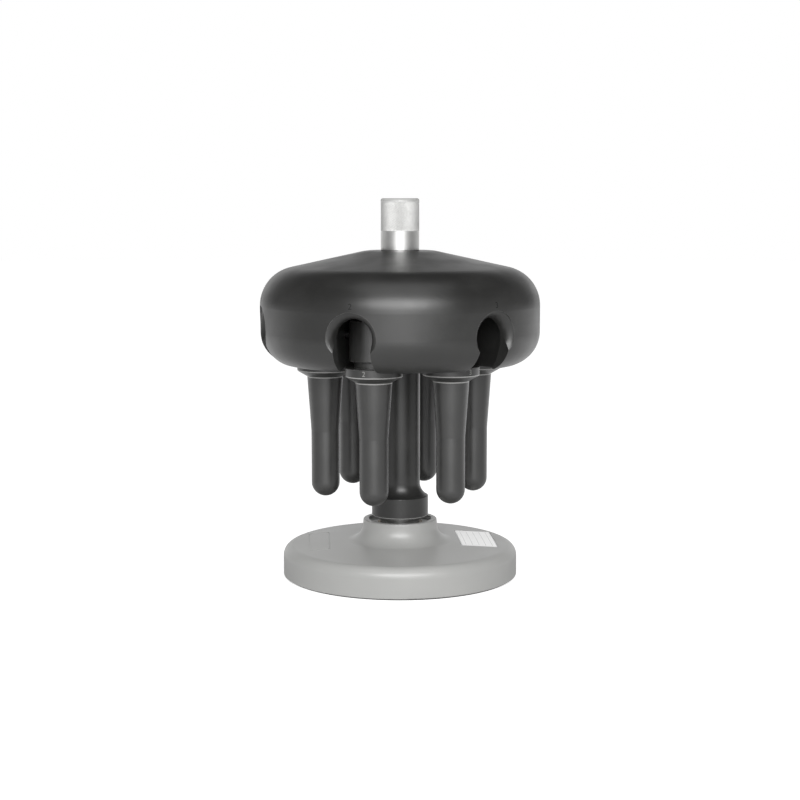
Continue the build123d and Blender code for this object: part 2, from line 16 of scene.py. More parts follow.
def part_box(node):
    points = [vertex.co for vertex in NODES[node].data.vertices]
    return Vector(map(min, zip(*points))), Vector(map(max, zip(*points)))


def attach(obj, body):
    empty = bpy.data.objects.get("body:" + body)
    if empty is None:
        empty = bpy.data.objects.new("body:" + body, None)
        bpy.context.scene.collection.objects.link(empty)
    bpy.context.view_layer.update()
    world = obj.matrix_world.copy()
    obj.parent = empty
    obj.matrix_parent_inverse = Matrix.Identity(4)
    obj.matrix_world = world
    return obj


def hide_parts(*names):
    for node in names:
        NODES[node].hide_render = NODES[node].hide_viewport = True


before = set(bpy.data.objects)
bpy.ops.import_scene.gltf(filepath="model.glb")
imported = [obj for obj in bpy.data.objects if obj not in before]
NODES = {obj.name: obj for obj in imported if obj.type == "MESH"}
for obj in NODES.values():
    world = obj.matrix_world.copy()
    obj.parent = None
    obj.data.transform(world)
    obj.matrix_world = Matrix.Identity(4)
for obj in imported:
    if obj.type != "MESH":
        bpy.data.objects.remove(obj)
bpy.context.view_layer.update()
MM = 0.001
PLACES = 6

# %% [markdown]
# ## Sizes that the finishes need
#
# A finish has to know where its piece is: rings run round an axis, and a painted highlight
# line lies at a height. These places could be typed in, but reading them from the solids means
# that a change in the CAD model carries over. A node's box gives its middle, its radius and
# its height.


# %% Helpers that measure a node
def middle(node):
    """The centre of a node's box."""
    low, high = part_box(node)
    return (low + high) / 2


def radius(node):
    """Half the width of a node that was turned on a lathe."""
    low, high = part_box(node)
    return (high.x - low.x) / 2


body_r = radius("rotor_body")
bucket_axis = {n: middle(f"bucket_{n}") for n in range(1, PLACES + 1)}
print("body radius", round(body_r / MM, 2), "mm, buckets", len(bucket_axis))

# %% [markdown]
# ## Shared surface effects
#
# Several finishes show the same marks: the fine rings that a lathe leaves, bright metal
# where an edge is rubbed, and the dull patches that gloves leave. Each effect could be
# drawn again in every material, but then a change has to be made many times. A node
# group is built once, and each material places it with its own values.


# %% A helper that starts a node group
def new_group(name, inputs, output):
    """Makes a shader node group with named sockets, and returns it with its two ends."""
    group = bpy.data.node_groups.new(name, "ShaderNodeTree")
    for label, kind, value in inputs:
        socket = group.interface.new_socket(label, in_out="INPUT", socket_type=kind)
        if value is not None:
            socket.default_value = value
    for label in output:
        group.interface.new_socket(label, in_out="OUTPUT", socket_type="NodeSocketFloat")
    return group, group.nodes.new("NodeGroupInput"), group.nodes.new("NodeGroupOutput")


VECTOR_INPUT = ("Vector", "NodeSocketVector", None)
print("every effect reads:", VECTOR_INPUT[0])


# %% Helpers that add one node each
def math_node(tree, operation, first, second=None, clamp=False):
    """Adds a Math node; a plain number or another node's output may feed it."""
    node = tree.nodes.new("ShaderNodeMath")
    node.operation = operation
    node.use_clamp = clamp
    for place, value in enumerate((first, second)):
        if value is None:
            continue
        if isinstance(value, (int, float)):
            node.inputs[place].default_value = value
        else:
            tree.links.new(value, node.inputs[place])
    return node.outputs[0]


def ramp_node(tree, value, low, high, to_low=0.0, to_high=1.0):
    """Stretches a value from one range to another, and stops at its ends."""
    node = tree.nodes.new("ShaderNodeMapRange")
    node.inputs["From Min"].default_value = low
    node.inputs["From Max"].default_value = high
    node.inputs["To Min"].default_value = to_low
    node.inputs["To Max"].default_value = to_high
    tree.links.new(value, node.inputs["Value"])
    return node.outputs["Result"]


def noise_node(tree, vector, scale, detail=3.0, roughness=0.5):
    """Adds a Noise texture and returns its grey output."""
    node = tree.nodes.new("ShaderNodeTexNoise")
    node.inputs["Scale"].default_value = scale
    node.inputs["Detail"].default_value = detail
    node.inputs["Roughness"].default_value = roughness
    tree.links.new(vector, node.inputs["Vector"])
    return node.outputs["Fac"]


def split_vector(tree, vector):
    """Adds a Separate XYZ node and returns its three outputs."""
    node = tree.nodes.new("ShaderNodeSeparateXYZ")
    tree.links.new(vector, node.inputs[0])
    return node.outputs["X"], node.outputs["Y"], node.outputs["Z"]


def reach_node(tree, x, y):
    """The distance from the Z axis."""
    across = math_node(tree, "MULTIPLY", x, x)
    along = math_node(tree, "MULTIPLY", y, y)
    return math_node(tree, "SQRT", math_node(tree, "ADD", across, along))


print("node helpers ready:", [f.__name__ for f in (math_node, ramp_node, noise_node)])

# %% [markdown]
# A lathe tool leaves rings round the axis. On a wall they follow the height, and on a
# flat face the distance from the axis. Both are put into one vector, and a noise that
# reads it is the same all the way round. A Wave texture would be quicker, but its rings
# are too regular for a tool that wears and chatters.


# %% Group: rings left by the lathe
def build_lathe_rings():
    """Fine rings for a bump, and broad ones for the gloss, both round the Z axis."""
    inputs = [VECTOR_INPUT, ("Rings per metre", "NodeSocketFloat", 900.0)]
    group, start, end = new_group("Lathe rings", inputs, ["Height", "Mask"])
    links = group.links
    x, y, z = split_vector(group, start.outputs["Vector"])
    join = group.nodes.new("ShaderNodeCombineXYZ")
    links.new(reach_node(group, x, y), join.inputs["X"])
    links.new(z, join.inputs["Y"])
    scaled = group.nodes.new("ShaderNodeVectorMath")
    scaled.operation = "SCALE"
    links.new(join.outputs[0], scaled.inputs[0])
    links.new(start.outputs["Rings per metre"], scaled.inputs["Scale"])
    fine = noise_node(group, scaled.outputs[0], scale=1.0, detail=4.0, roughness=0.6)
    broad = noise_node(group, scaled.outputs[0], scale=0.13, detail=2.0, roughness=0.5)
    links.new(fine, end.inputs["Height"])
    links.new(ramp_node(group, broad, low=0.35, high=0.65), end.inputs["Mask"])
    return group


LATHE_RINGS = build_lathe_rings()
print(LATHE_RINGS.name, "has", len(LATHE_RINGS.nodes), "nodes")

# %% [markdown]
# Edges lose their finish first, and sharp edges also catch a thin line of light. On the black
# anodising this mask paints both: the wear, and a painted highlight along the edges. On the
# paint it marks wear only. A Bevel node gives the normal that a slightly rounded edge would
# have. Where it turns away from the true normal there is an edge, and a noise breaks the pale
# line up, because wear is never even. Pointiness would need a dense mesh for the same, and
# these solids have long thin triangles.

# %% Group: rubbed edges and painted edge highlights
EDGE_MASK_WIDTH = 0.35 * MM  # how far from an edge the mask reaches
FLAT_TURN, EDGE_TURN = 0.985, 0.86  # cosines of the turn where wear starts and is full


def build_edge_wear():
    """A mask that is 1 on sharp edges, broken up where Evenness is low."""
    inputs = [VECTOR_INPUT, ("Evenness", "NodeSocketFloat", 0.5)]
    group, start, end = new_group("Edge wear and highlight", inputs, ["Mask"])
    links = group.links
    bevel = group.nodes.new("ShaderNodeBevel")
    bevel.samples = 6
    bevel.inputs["Radius"].default_value = EDGE_MASK_WIDTH
    surface = group.nodes.new("ShaderNodeNewGeometry")
    turn = group.nodes.new("ShaderNodeVectorMath")
    turn.operation = "DOT_PRODUCT"
    links.new(bevel.outputs["Normal"], turn.inputs[0])
    links.new(surface.outputs["Normal"], turn.inputs[1])
    edge = ramp_node(group, turn.outputs["Value"], FLAT_TURN, EDGE_TURN)
    patchy = noise_node(group, start.outputs["Vector"], scale=260.0, detail=4.0, roughness=0.6)
    patches = ramp_node(group, patchy, low=0.35, high=0.62, to_low=1.0, to_high=0.0)
    unevenness = math_node(group, "SUBTRACT", 1.0, start.outputs["Evenness"])
    loss = math_node(group, "MULTIPLY", patches, unevenness)
    kept = math_node(group, "SUBTRACT", 1.0, loss)
    links.new(math_node(group, "MULTIPLY", edge, kept, clamp=True), end.inputs["Mask"])
    return group


EDGE_WEAR_AND_HIGHLIGHT = build_edge_wear()
print(EDGE_WEAR_AND_HIGHLIGHT.name, "has", len(EDGE_WEAR_AND_HIGHLIGHT.nodes), "nodes")

# %% [markdown]
# Gloves and cloths leave dull, cloudy patches. They hardly change the colour, but they
# spread a reflection, so this group feeds the roughness more than the colour.


# %% Group: handling marks
def build_handling():
    """Cloudy patches a few centimetres wide."""
    group, start, end = new_group("Handling marks", [VECTOR_INPUT], ["Mask"])
    cloud = noise_node(group, start.outputs["Vector"], scale=38.0, detail=5.0, roughness=0.55)
    group.links.new(ramp_node(group, cloud, low=0.42, high=0.68), end.inputs["Mask"])
    return group


HANDLING = build_handling()
print(HANDLING.name, "has", len(HANDLING.nodes), "nodes")

# %% [markdown]
# A few narrow edges get a pale line of colour at a fixed height: a painted highlight, standing
# in for the light those edges catch. The line could be a thin mesh of its own, but a mask by
# height needs none. It also asks for a least radius, so that a bore inside at the same height
# stays black.


# %% Group: painted highlight lines at a height
def build_bright_cut():
    """A mask that is 1 in a narrow band round the Z axis, outside a least radius."""
    inputs = [
        VECTOR_INPUT,
        ("Height", "NodeSocketFloat", 0.0),
        ("Half width", "NodeSocketFloat", 0.3 * MM),
        ("Least radius", "NodeSocketFloat", 0.0),
    ]
    group, start, end = new_group("Painted highlight line", inputs, ["Mask"])
    x, y, z = split_vector(group, start.outputs["Vector"])
    above = math_node(group, "SUBTRACT", z, start.outputs["Height"])
    away = math_node(group, "ABSOLUTE", above)
    near = math_node(group, "LESS_THAN", away, start.outputs["Half width"])
    outside = math_node(group, "GREATER_THAN", reach_node(group, x, y),
                        start.outputs["Least radius"])
    group.links.new(math_node(group, "MULTIPLY", near, outside), end.inputs["Mask"])
    return group


HIGHLIGHT_LINE = build_bright_cut()
print(HIGHLIGHT_LINE.name, "has", len(HIGHLIGHT_LINE.nodes), "nodes")

# %% [markdown]
# ## Starting a material
#
# Each finish starts as a Principled shader with a plain colour, and the shared effects
# are placed on top. The patterns read Object coordinates, which for every piece here
# are metres from the foot of the stand. A Mapping node moves them to a piece's own axis.


# %% Helpers that start a material and place an effect in it
def new_material(name, base, roughness, metallic=0.0):
    """A Principled material; returns it with its node tree and its shader."""
    material = bpy.data.materials.new(name)
    material.use_nodes = True
    tree = material.node_tree
    shader = tree.nodes["Principled BSDF"]
    shader.inputs["Base Color"].default_value = (*base, 1.0)
    shader.inputs["Roughness"].default_value = roughness
    shader.inputs["Metallic"].default_value = metallic
    return material, tree, shader


def object_vector(tree, centre=(0.0, 0.0, 0.0), turn=0.0):
    """Object coordinates, with the pattern centred on a point and turned about Z."""
    coordinates = tree.nodes.new("ShaderNodeTexCoord")
    mapping = tree.nodes.new("ShaderNodeMapping")
    mapping.vector_type = "TEXTURE"
    mapping.inputs["Location"].default_value = centre
    mapping.inputs["Rotation"].default_value = (0.0, 0.0, turn)
    tree.links.new(coordinates.outputs["Object"], mapping.inputs["Vector"])
    return mapping.outputs["Vector"]


def place_group(tree, group, vector, **values):
    """Puts a shared effect into a material; its values are named like its sockets."""
    node = tree.nodes.new("ShaderNodeGroup")
    node.node_tree = group
    tree.links.new(vector, node.inputs["Vector"])
    for label, value in values.items():
        node.inputs[label.replace("_", " ")].default_value = value
    return node


print("effects to place:", len(bpy.data.node_groups))


# %% Helpers that feed a shader
def mix_colour(tree, mask, plain, changed):
    """Blends two colours by a mask; each may be a colour or another node's output."""
    node = tree.nodes.new("ShaderNodeMix")
    node.data_type = "RGBA"
    tree.links.new(mask, node.inputs["Factor"])
    for label, value in (("A", plain), ("B", changed)):
        socket = next(s for s in node.inputs if s.name == label and s.type == "RGBA")
        if isinstance(value, tuple):
            socket.default_value = (*value, 1.0)
        else:
            tree.links.new(value, socket)
    return next(s for s in node.outputs if s.type == "RGBA")


def add_bump(tree, shader, height, distance, strength=1.0):
    """Feeds a height into the shader's normal."""
    bump = tree.nodes.new("ShaderNodeBump")
    bump.inputs["Distance"].default_value = distance
    bump.inputs["Strength"].default_value = strength
    tree.links.new(height, bump.inputs["Height"])
    tree.links.new(bump.outputs["Normal"], shader.inputs["Normal"])


def vary_roughness(tree, shader, mask, low, high):
    """Lets a mask move the shader's roughness between two values."""
    tree.links.new(ramp_node(tree, mask, 0.0, 1.0, low, high), shader.inputs["Roughness"])


def dress(node, material):
    """Gives a CAD node a material in each of its slots."""
    for slot in NODES[node].material_slots:
        slot.material = material


print("nodes to dress:", len(NODES))

# %% [markdown]
# ## Finish: black satin anodising
#
# The body, the stem, the buckets and their caps are turned from aluminium and anodised black.
# The dyed layer is thin, so the rings of the lathe show through it. Its edges are paler:
# partly worn grey, and partly a painted highlight for the light that sharp edges catch. It is
# neither paint nor bare metal. A metallic shader would go too bright at its sides, so a dark
# base with a strong, soft highlight comes closer. The rings run round each piece's own axis,
# so a bucket's material centres them there.

# %% Colours of the black anodising
ANODISED = (0.019, 0.019, 0.0182)
ANODISED_DULL = (0.025, 0.025, 0.024)  # where gloves have been
# pale edge colour: partly worn metal, partly a painted highlight along sharp edges
RUBBED_AND_HIGHLIGHT = (0.13, 0.13, 0.128)
RUBBED_BUCKET_AND_HIGHLIGHT = (0.34, 0.34, 0.33)  # buckets are handled most, and their edges carry a brighter painted highlight
EDGE_HIGHLIGHT_PAINT = (0.35, 0.35, 0.342)  # painted highlight lines on a few edges
SATIN = 0.38  # roughness of the layer
LESS_DULL, MORE_DULL = 0.03, 0.05  # how far gloves move it
SHEEN, SHEEN_BUCKET = 0.85, 1.2  # metal under the thin layer reflects more than plastic
RINGS, RINGS_BUCKET = 900.0, 1400.0  # rings per metre
RING_DEPTH = 0.004 * MM
RING_GLOSS = 0.015  # how far the rings move the roughness
print("black anodising, roughness", SATIN)


# %% Material: black anodising
def black_anodising(name, axis=(0.0, 0.0), rings=RINGS, rubbed_and_highlight=RUBBED_AND_HIGHLIGHT, sheen=SHEEN, highlight_lines=()):
    """Black anodised metal about an axis; highlight_lines are painted highlight bands, each
    (height, half width, least radius).
    """
    material, tree, shader = new_material(name, ANODISED, SATIN)
    shader.inputs["Specular IOR Level"].default_value = sheen
    centre = object_vector(tree, (axis[0], axis[1], 0.0))
    turned = place_group(tree, LATHE_RINGS, centre, Rings_per_metre=rings)
    # the edge mask makes the colour paler on edges: partly wear, partly a painted highlight
    worn = place_group(tree, EDGE_WEAR_AND_HIGHLIGHT, centre, Evenness=0.55)
    handled = place_group(tree, HANDLING, centre)
    tone = mix_colour(tree, handled.outputs["Mask"], ANODISED, ANODISED_DULL)
    colour = mix_colour(tree, worn.outputs["Mask"], tone, rubbed_and_highlight)
    # each highlight line adds a pale band of colour at its height: a painted highlight
    for height, half_width, least_radius in highlight_lines:
        cut = place_group(tree, HIGHLIGHT_LINE, centre, Height=height, Half_width=half_width,
                          Least_radius=least_radius)
        colour = mix_colour(tree, cut.outputs["Mask"], colour, EDGE_HIGHLIGHT_PAINT)
    tree.links.new(colour, shader.inputs["Base Color"])
    dull = ramp_node(tree, handled.outputs["Mask"], 0.0, 1.0, SATIN - LESS_DULL,
                     SATIN + MORE_DULL)
    ringed = ramp_node(tree, turned.outputs["Mask"], 0.0, 1.0, -RING_GLOSS, RING_GLOSS)
    tree.links.new(math_node(tree, "ADD", dull, ringed), shader.inputs["Roughness"])
    add_bump(tree, shader, turned.outputs["Height"], RING_DEPTH)
    return material


dress("rotor_body", black_anodising("Black anodising, body"))
print("dressed: rotor_body")

# %% [markdown]
# The adapter is the stem that sits on the spindle. The lower edge of its flange gets a painted
# highlight, which shows as a fine pale line over the hub.

# %% Dress the adapter
ADAPTER_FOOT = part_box("rotor_adapter")[0].z
# a painted highlight just above the lower edge of the flange
ADAPTER_HIGHLIGHT_LINES = ((ADAPTER_FOOT + 0.3 * MM, 0.35 * MM, 17.0 * MM),)
dress("rotor_adapter", black_anodising("Black anodising, adapter", highlight_lines=ADAPTER_HIGHLIGHT_LINES))
print("bright line at", round(ADAPTER_HIGHLIGHT_LINES[0][0] / MM, 2), "mm")

# %% [markdown]
# A bucket has two such painted highlight lines: one on the lower edge of its collar, and one
# where the slope under the collar meets the tube. A bucket and its cap share one material,
# whose rings run round that bucket's axis.

# %% Dress the buckets and caps
COLLAR_FOOT = 138.05 * MM  # lower edge of a bucket's collar
SHOULDER = 134.25 * MM  # where the slope under the collar meets the tube
# painted highlights at the collar's lower edge and at the shoulder
BUCKET_HIGHLIGHT_LINES = ((COLLAR_FOOT + 0.25 * MM, 0.35 * MM, 17.0 * MM),
               (SHOULDER - 0.1 * MM, 0.4 * MM, 11.2 * MM))
for n, axis in bucket_axis.items():
    bucket_black = black_anodising(f"Black anodising, bucket {n}", axis, RINGS_BUCKET,
                                   RUBBED_BUCKET_AND_HIGHLIGHT, SHEEN_BUCKET, BUCKET_HIGHLIGHT_LINES)
    dress(f"bucket_{n}", bucket_black)
    dress(f"bucket_cap_{n}", bucket_black)
print("dressed: buckets and caps,", 2 * PLACES, "nodes")

# %% [markdown]
# ## Finish: light grey stand paint
#
# The stand is a casting under a satin grey paint. Sprayed paint dries with a slightly
# wavy skin, like orange peel, which breaks up its highlights. A little dust lies on it,
# and the paint is thin on its sharp edges.

# %% Material: stand paint
PAINT = (0.368, 0.369, 0.360)
PAINT_DUSTY = (0.382, 0.382, 0.372)
PAINT_THIN = (0.46, 0.46, 0.449)
PAINT_SMOOTH, PAINT_DULL = 0.34, 0.39
PEEL_SCALE, PEEL_DEPTH = 750.0, 0.02 * MM

STAND_PAINT, tree, shader = new_material("Stand paint", PAINT, roughness=0.36)
shader.inputs["Specular IOR Level"].default_value = 0.8
paint_vector = object_vector(tree)
paint_handled = place_group(tree, HANDLING, paint_vector)
# on the paint the edge mask marks thin, worn paint only
paint_edges = place_group(tree, EDGE_WEAR_AND_HIGHLIGHT, paint_vector, Evenness=0.7)
paint_tone = mix_colour(tree, paint_handled.outputs["Mask"], PAINT, PAINT_DUSTY)
tree.links.new(mix_colour(tree, paint_edges.outputs["Mask"], paint_tone, PAINT_THIN),
               shader.inputs["Base Color"])
vary_roughness(tree, shader, paint_handled.outputs["Mask"], PAINT_SMOOTH, PAINT_DULL)
peel = noise_node(tree, paint_vector, PEEL_SCALE, detail=2.0, roughness=0.45)
add_bump(tree, shader, peel, PEEL_DEPTH, strength=0.4)
dress("stand_base", STAND_PAINT)
print("dressed: stand_base")

# %% [markdown]
# ## Finish: bare metals
#
# The smaller parts are ground steel, zinc plated steel, oiled bronze and cast iron. They
# differ in colour and gloss, but each is turned or ground, so one function makes them
# all from the shared rings and marks.

# %% Helper: a bare metal
METAL_FINER, METAL_COARSER = 0.04, 0.05  # how far the rings move the roughness


def bare_metal(name, colour, dark, roughness, rings=1500.0, depth=RING_DEPTH):
    """A turned or ground metal, a little darker where it was handled."""
    material, tree, shader = new_material(name, colour, roughness, metallic=1.0)
    vector = object_vector(tree)
    turned = place_group(tree, LATHE_RINGS, vector, Rings_per_metre=rings)
    handled = place_group(tree, HANDLING, vector)
    tree.links.new(mix_colour(tree, handled.outputs["Mask"], colour, dark),
                   shader.inputs["Base Color"])
    vary_roughness(tree, shader, turned.outputs["Mask"], roughness - METAL_FINER,
                   roughness + METAL_COARSER)
    add_bump(tree, shader, turned.outputs["Height"], depth)
    return material


print("a bare metal's rings move its roughness by", METAL_FINER, "to", METAL_COARSER)


# %% Materials: bare metals
GROUND_STEEL = bare_metal("Ground steel", (0.62, 0.62, 0.61), (0.50, 0.50, 0.49), 0.24)
ZINC_PLATE = bare_metal("Zinc plate", (0.66, 0.67, 0.68), (0.52, 0.53, 0.55), 0.36,
                        rings=600.0)
BRONZE = bare_metal("Oiled bronze", (0.17, 0.12, 0.065), (0.10, 0.07, 0.04), 0.34)
# the hanger pins get a near-black colour, a painted shade matching the dark pockets they sit
# in
SHADE_DARKENED_STEEL = bare_metal("Shade darkened steel", (0.05, 0.05, 0.05), (0.03, 0.03, 0.03), 0.40)
CAST_IRON = bare_metal("Cast iron", (0.12, 0.12, 0.12), (0.08, 0.07, 0.065), 0.62,
                       rings=300.0, depth=0.05 * MM)
METAL_NODES = {
    GROUND_STEEL: ("spindle", "drive_pins", "adapter_dowels", "handle_stud"),
    SHADE_DARKENED_STEEL: ("hanger_pins",),
    ZINC_PLATE: ("bottom_plate", "plate_screws", "spindle_clip"),
    BRONZE: ("spindle_bush",),
    CAST_IRON: ("ballast_ring",),
}
for metal, nodes in METAL_NODES.items():
    for node in nodes:
        dress(node, metal)
    print("dressed in", metal.name + ":", *nodes)

# %% [markdown]
# ## Finish: rubber and film
#
# The foot ring and the seals are moulded rubber, and the thin ring under the flange is
# a plastic film. All are soft blacks with a fine grain, on which pale dust settles.

# %% Materials: rubber and film
DUST = 1.8  # how many times paler the dusty patches are
GRAIN_DEPTH = 0.02 * MM


def soft_black(name, colour, roughness, grain):
    """Moulded rubber or plastic film with a fine grain and some pale dust."""
    material, tree, shader = new_material(name, colour, roughness)
    vector = object_vector(tree)
    handled = place_group(tree, HANDLING, vector)
    dusty = tuple(value * DUST for value in colour)
    tree.links.new(mix_colour(tree, handled.outputs["Mask"], colour, dusty),
                   shader.inputs["Base Color"])
    grain_noise = noise_node(tree, vector, grain, detail=2.0)
    add_bump(tree, shader, grain_noise, GRAIN_DEPTH, strength=0.6)
    return material


RUBBER = soft_black("Foot rubber", (0.022, 0.022, 0.022), 0.75, grain=1600.0)
SEAL_RUBBER = soft_black("Seal rubber", (0.012, 0.012, 0.012), 0.45, grain=2500.0)
DISK_FILM = soft_black("Disk film", (0.05, 0.05, 0.055), 0.30, grain=900.0)
dress("foot_ring", RUBBER)
dress("overspeed_disk", DISK_FILM)
for n in range(1, PLACES + 1):
    dress(f"cap_seal_{n}", SEAL_RUBBER)
print("dressed: foot_ring, overspeed_disk and", PLACES, "seals")

# %% [markdown]
# ## Finish: the blank label
#
# A white film label lies in a shallow recess of the stand. It is left blank, with a few pale
# ruled lines to write between. A thin grey band round its edge is painted shade, where the
# walls of the recess shade the film. The lines and the band are drawn by arithmetic on the
# label's own place and turn, so they need no extra meshes.

# %% Sizes and colours of the label
LABEL_TURN = math.radians(2.5)  # it stands a little askew
LABEL_HALF = (12.1 * MM, 25.5 * MM)
# width of the painted shade round the label's edge
EDGE_SHADE_WIDE = 0.7 * MM
RULE_STEP, RULE_HALF = 2.2 * MM, 0.22 * MM  # half the way between two lines, half a line
RULE_MARGIN = (2.6 * MM, 3.0 * MM)
LABEL_WHITE = (0.96, 0.96, 0.95)
# grey of the painted shade from the recess walls
LABEL_EDGE_SHADE = (0.50, 0.50, 0.50)
LABEL_RULE = (0.62, 0.62, 0.62)
print("label", [round(2 * half / MM, 1) for half in LABEL_HALF], "mm")

# %% Material: label film
LABEL_FILM, tree, shader = new_material("Label film", LABEL_WHITE, roughness=0.08)
shader.inputs["Specular IOR Level"].default_value = 0.9
label_vector = object_vector(tree, middle("label_plate"), LABEL_TURN)
label_x, label_y, _ = split_vector(tree, label_vector)
side_x = math_node(tree, "ABSOLUTE", label_x)
side_y = math_node(tree, "ABSOLUTE", label_y)
# a band round the edge, painted shade from the walls of the recess
edge_shade_x = math_node(tree, "GREATER_THAN", side_x, LABEL_HALF[0] - EDGE_SHADE_WIDE)
edge_shade_y = math_node(tree, "GREATER_THAN", side_y, LABEL_HALF[1] - EDGE_SHADE_WIDE)
edge_shade = math_node(tree, "MAXIMUM", edge_shade_x, edge_shade_y)
inside_x = math_node(tree, "LESS_THAN", side_x, LABEL_HALF[0] - RULE_MARGIN[0])
inside_y = math_node(tree, "LESS_THAN", side_y, LABEL_HALF[1] - RULE_MARGIN[1])
ruled_area = math_node(tree, "MULTIPLY", inside_x, inside_y)
repeat = math_node(tree, "PINGPONG", label_x, RULE_STEP)
line = math_node(tree, "LESS_THAN", repeat, RULE_HALF)
rules = math_node(tree, "MULTIPLY", line, ruled_area)
label_tone = mix_colour(tree, rules, LABEL_WHITE, LABEL_RULE)
tree.links.new(mix_colour(tree, edge_shade, label_tone, LABEL_EDGE_SHADE), shader.inputs["Base Color"])
label_handled = place_group(tree, HANDLING, label_vector)
vary_roughness(tree, shader, label_handled.outputs["Mask"], low=0.06, high=0.12)
dress("label_plate", LABEL_FILM)
print("dressed: label_plate")

# %% [markdown]
# ## The knurled grip
#
# The handle on top is aluminium. Its foot is plain, and its upper part is knurled: two
# sets of slanting grooves leave small pyramids for the fingers. A bump map could fake
# them, but they show in the outline, so they are modelled. A ring of points is extruded
# upwards row by row, and every second point is then pushed in.


# %% Helpers for modelling
def nothing_selected():
    """Deselects everything, because an operator acts on all that is selected."""
    if bpy.context.object and bpy.context.object.mode != "OBJECT":
        bpy.ops.object.mode_set(mode="OBJECT")
    bpy.ops.object.select_all(action="DESELECT")


def pull_ring(height, scale=1.0):
    """Extrudes the selected ring of points upwards and resizes it about the Z axis."""
    bpy.ops.mesh.extrude_region_move(TRANSFORM_OT_translate={"value": (0.0, 0.0, height)})
    if scale != 1.0:
        bpy.ops.transform.resize(value=(scale, scale, 1.0), center_override=(0.0, 0.0, 0.0))


nothing_selected()
print("selected objects:", len(bpy.context.selected_objects))

# %% Sizes of the grip
grip_low, grip_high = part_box("rotor_handle")
grip_r = radius("rotor_handle")
KNURLS = 80  # pyramids round the grip
KNURL_ROWS = 24
KNURL_DEPTH = 0.24 * MM
CHAMFER = 0.3 * MM  # at the foot
PLAIN_TOP = 12.0 * MM  # top of the plain foot, from the grip's lower end
GROOVE_HIGH, GROOVE_DEEP = 0.6 * MM, 0.35 * MM  # the knurling wheel runs out into it
RIM_HIGH = 0.2 * MM  # plain rim over the knurl
TOP_EDGE, TOP_STEPS = 1.5 * MM, 6  # rounding at the top
CENTRE_MARK = 0.25 * MM  # depth of what the lathe's centre leaves in the top
MARK_OUTER, MARK_INNER = 0.25, 0.5  # each ring as a share of the one before
knurl_low = grip_low.z + PLAIN_TOP + GROOVE_HIGH
knurl_high = grip_high.z - TOP_EDGE - RIM_HIGH
row_high = (knurl_high - knurl_low) / KNURL_ROWS
print("grip radius", round(grip_r / MM, 2), "mm, row", round(row_high / MM, 2), "mm high")

# %% [markdown]
# The ring has two points per pyramid. It starts as a circle at the foot and climbs: a
# chamfer, the plain wall and a small groove. Screw or array modifiers could repeat
# the rows, but a loop of extrusions leaves one clean mesh with no seam.

# %% Extrude the plain foot and the groove
bpy.ops.mesh.primitive_circle_add(vertices=2 * KNURLS, radius=grip_r - CHAMFER,
                                  location=(0.0, 0.0, grip_low.z))
grip = bpy.context.object
grip.name = "knurled_grip"
bpy.ops.object.transform_apply(location=True)
bpy.ops.object.mode_set(mode="EDIT")
bpy.ops.mesh.select_all(action="SELECT")
groove_r = grip_r - GROOVE_DEEP
pull_ring(CHAMFER, grip_r / (grip_r - CHAMFER))
pull_ring(PLAIN_TOP - CHAMFER)
pull_ring(0.0, groove_r / grip_r)
pull_ring(GROOVE_HIGH)
pull_ring(0.0, grip_r / groove_r)
print("foot reaches", round(PLAIN_TOP / MM, 2), "mm")

# %% Extrude the rows of the knurl
for row in range(KNURL_ROWS):
    pull_ring(row_high)
pull_ring(RIM_HIGH)
print("rows:", KNURL_ROWS)

# %% [markdown]
# The top edge is a quarter circle of short steps. Each step rises by a difference of
# sines and shrinks by a difference of cosines. A bevel would round it too, but it
# would also catch the points of the knurl below.

# %% Round the top and close it
previous = grip_r
step_turn = math.radians(90.0 / TOP_STEPS)
for step in range(1, TOP_STEPS + 1):
    angle = step * step_turn
    ring = grip_r - TOP_EDGE * (1.0 - math.cos(angle))
    rise = TOP_EDGE * (math.sin(angle) - math.sin(angle - step_turn))
    pull_ring(rise, ring / previous)
    previous = ring
pull_ring(0.0, MARK_OUTER)  # the flat top
pull_ring(-CENTRE_MARK, MARK_INNER)
bpy.ops.mesh.edge_face_add()
bpy.ops.object.mode_set(mode="OBJECT")
print("grip rings extruded:", len(grip.data.vertices), "points")

# %% [markdown]
# Every second point of a row goes in, and the next row starts one point further on, as
# on a chessboard. Each point that stays out is then the tip of a pyramid. The four
# sided faces are split along their shorter diagonal, which runs up to the tips.

# %% Push in every second point
step_angle = math.pi / KNURLS
pushed = 0
for vertex in grip.data.vertices:
    row = round((vertex.co.z - knurl_low) / row_high)
    around = round(math.atan2(vertex.co.y, vertex.co.x) / step_angle)
    on_row = abs(vertex.co.z - knurl_low - row * row_high) < 0.05 * row_high
    on_skin = math.hypot(vertex.co.x, vertex.co.y) > grip_r - 0.01 * MM
    vertex.select = 0 < row < KNURL_ROWS and on_row and on_skin and (row + around) % 2 == 1
    pushed += vertex.select
bpy.ops.object.mode_set(mode="EDIT")
bpy.ops.mesh.select_mode(type="VERT")
shrink = (grip_r - KNURL_DEPTH) / grip_r
bpy.ops.transform.resize(value=(shrink, shrink, 1.0), center_override=(0.0, 0.0, 0.0))
bpy.ops.mesh.select_all(action="SELECT")
bpy.ops.mesh.quads_convert_to_tris(quad_method="SHORTEST_DIAGONAL")
bpy.ops.object.mode_set(mode="OBJECT")
print("points pushed in:", pushed)

# %% [markdown]
# The mesh is still open at the foot. Its one open edge is found and filled, and all
# faces are made to point outwards. The turns between pyramids are sharper than
# the shading limit, so they stay crisp, while the plain wall is shaded smooth.

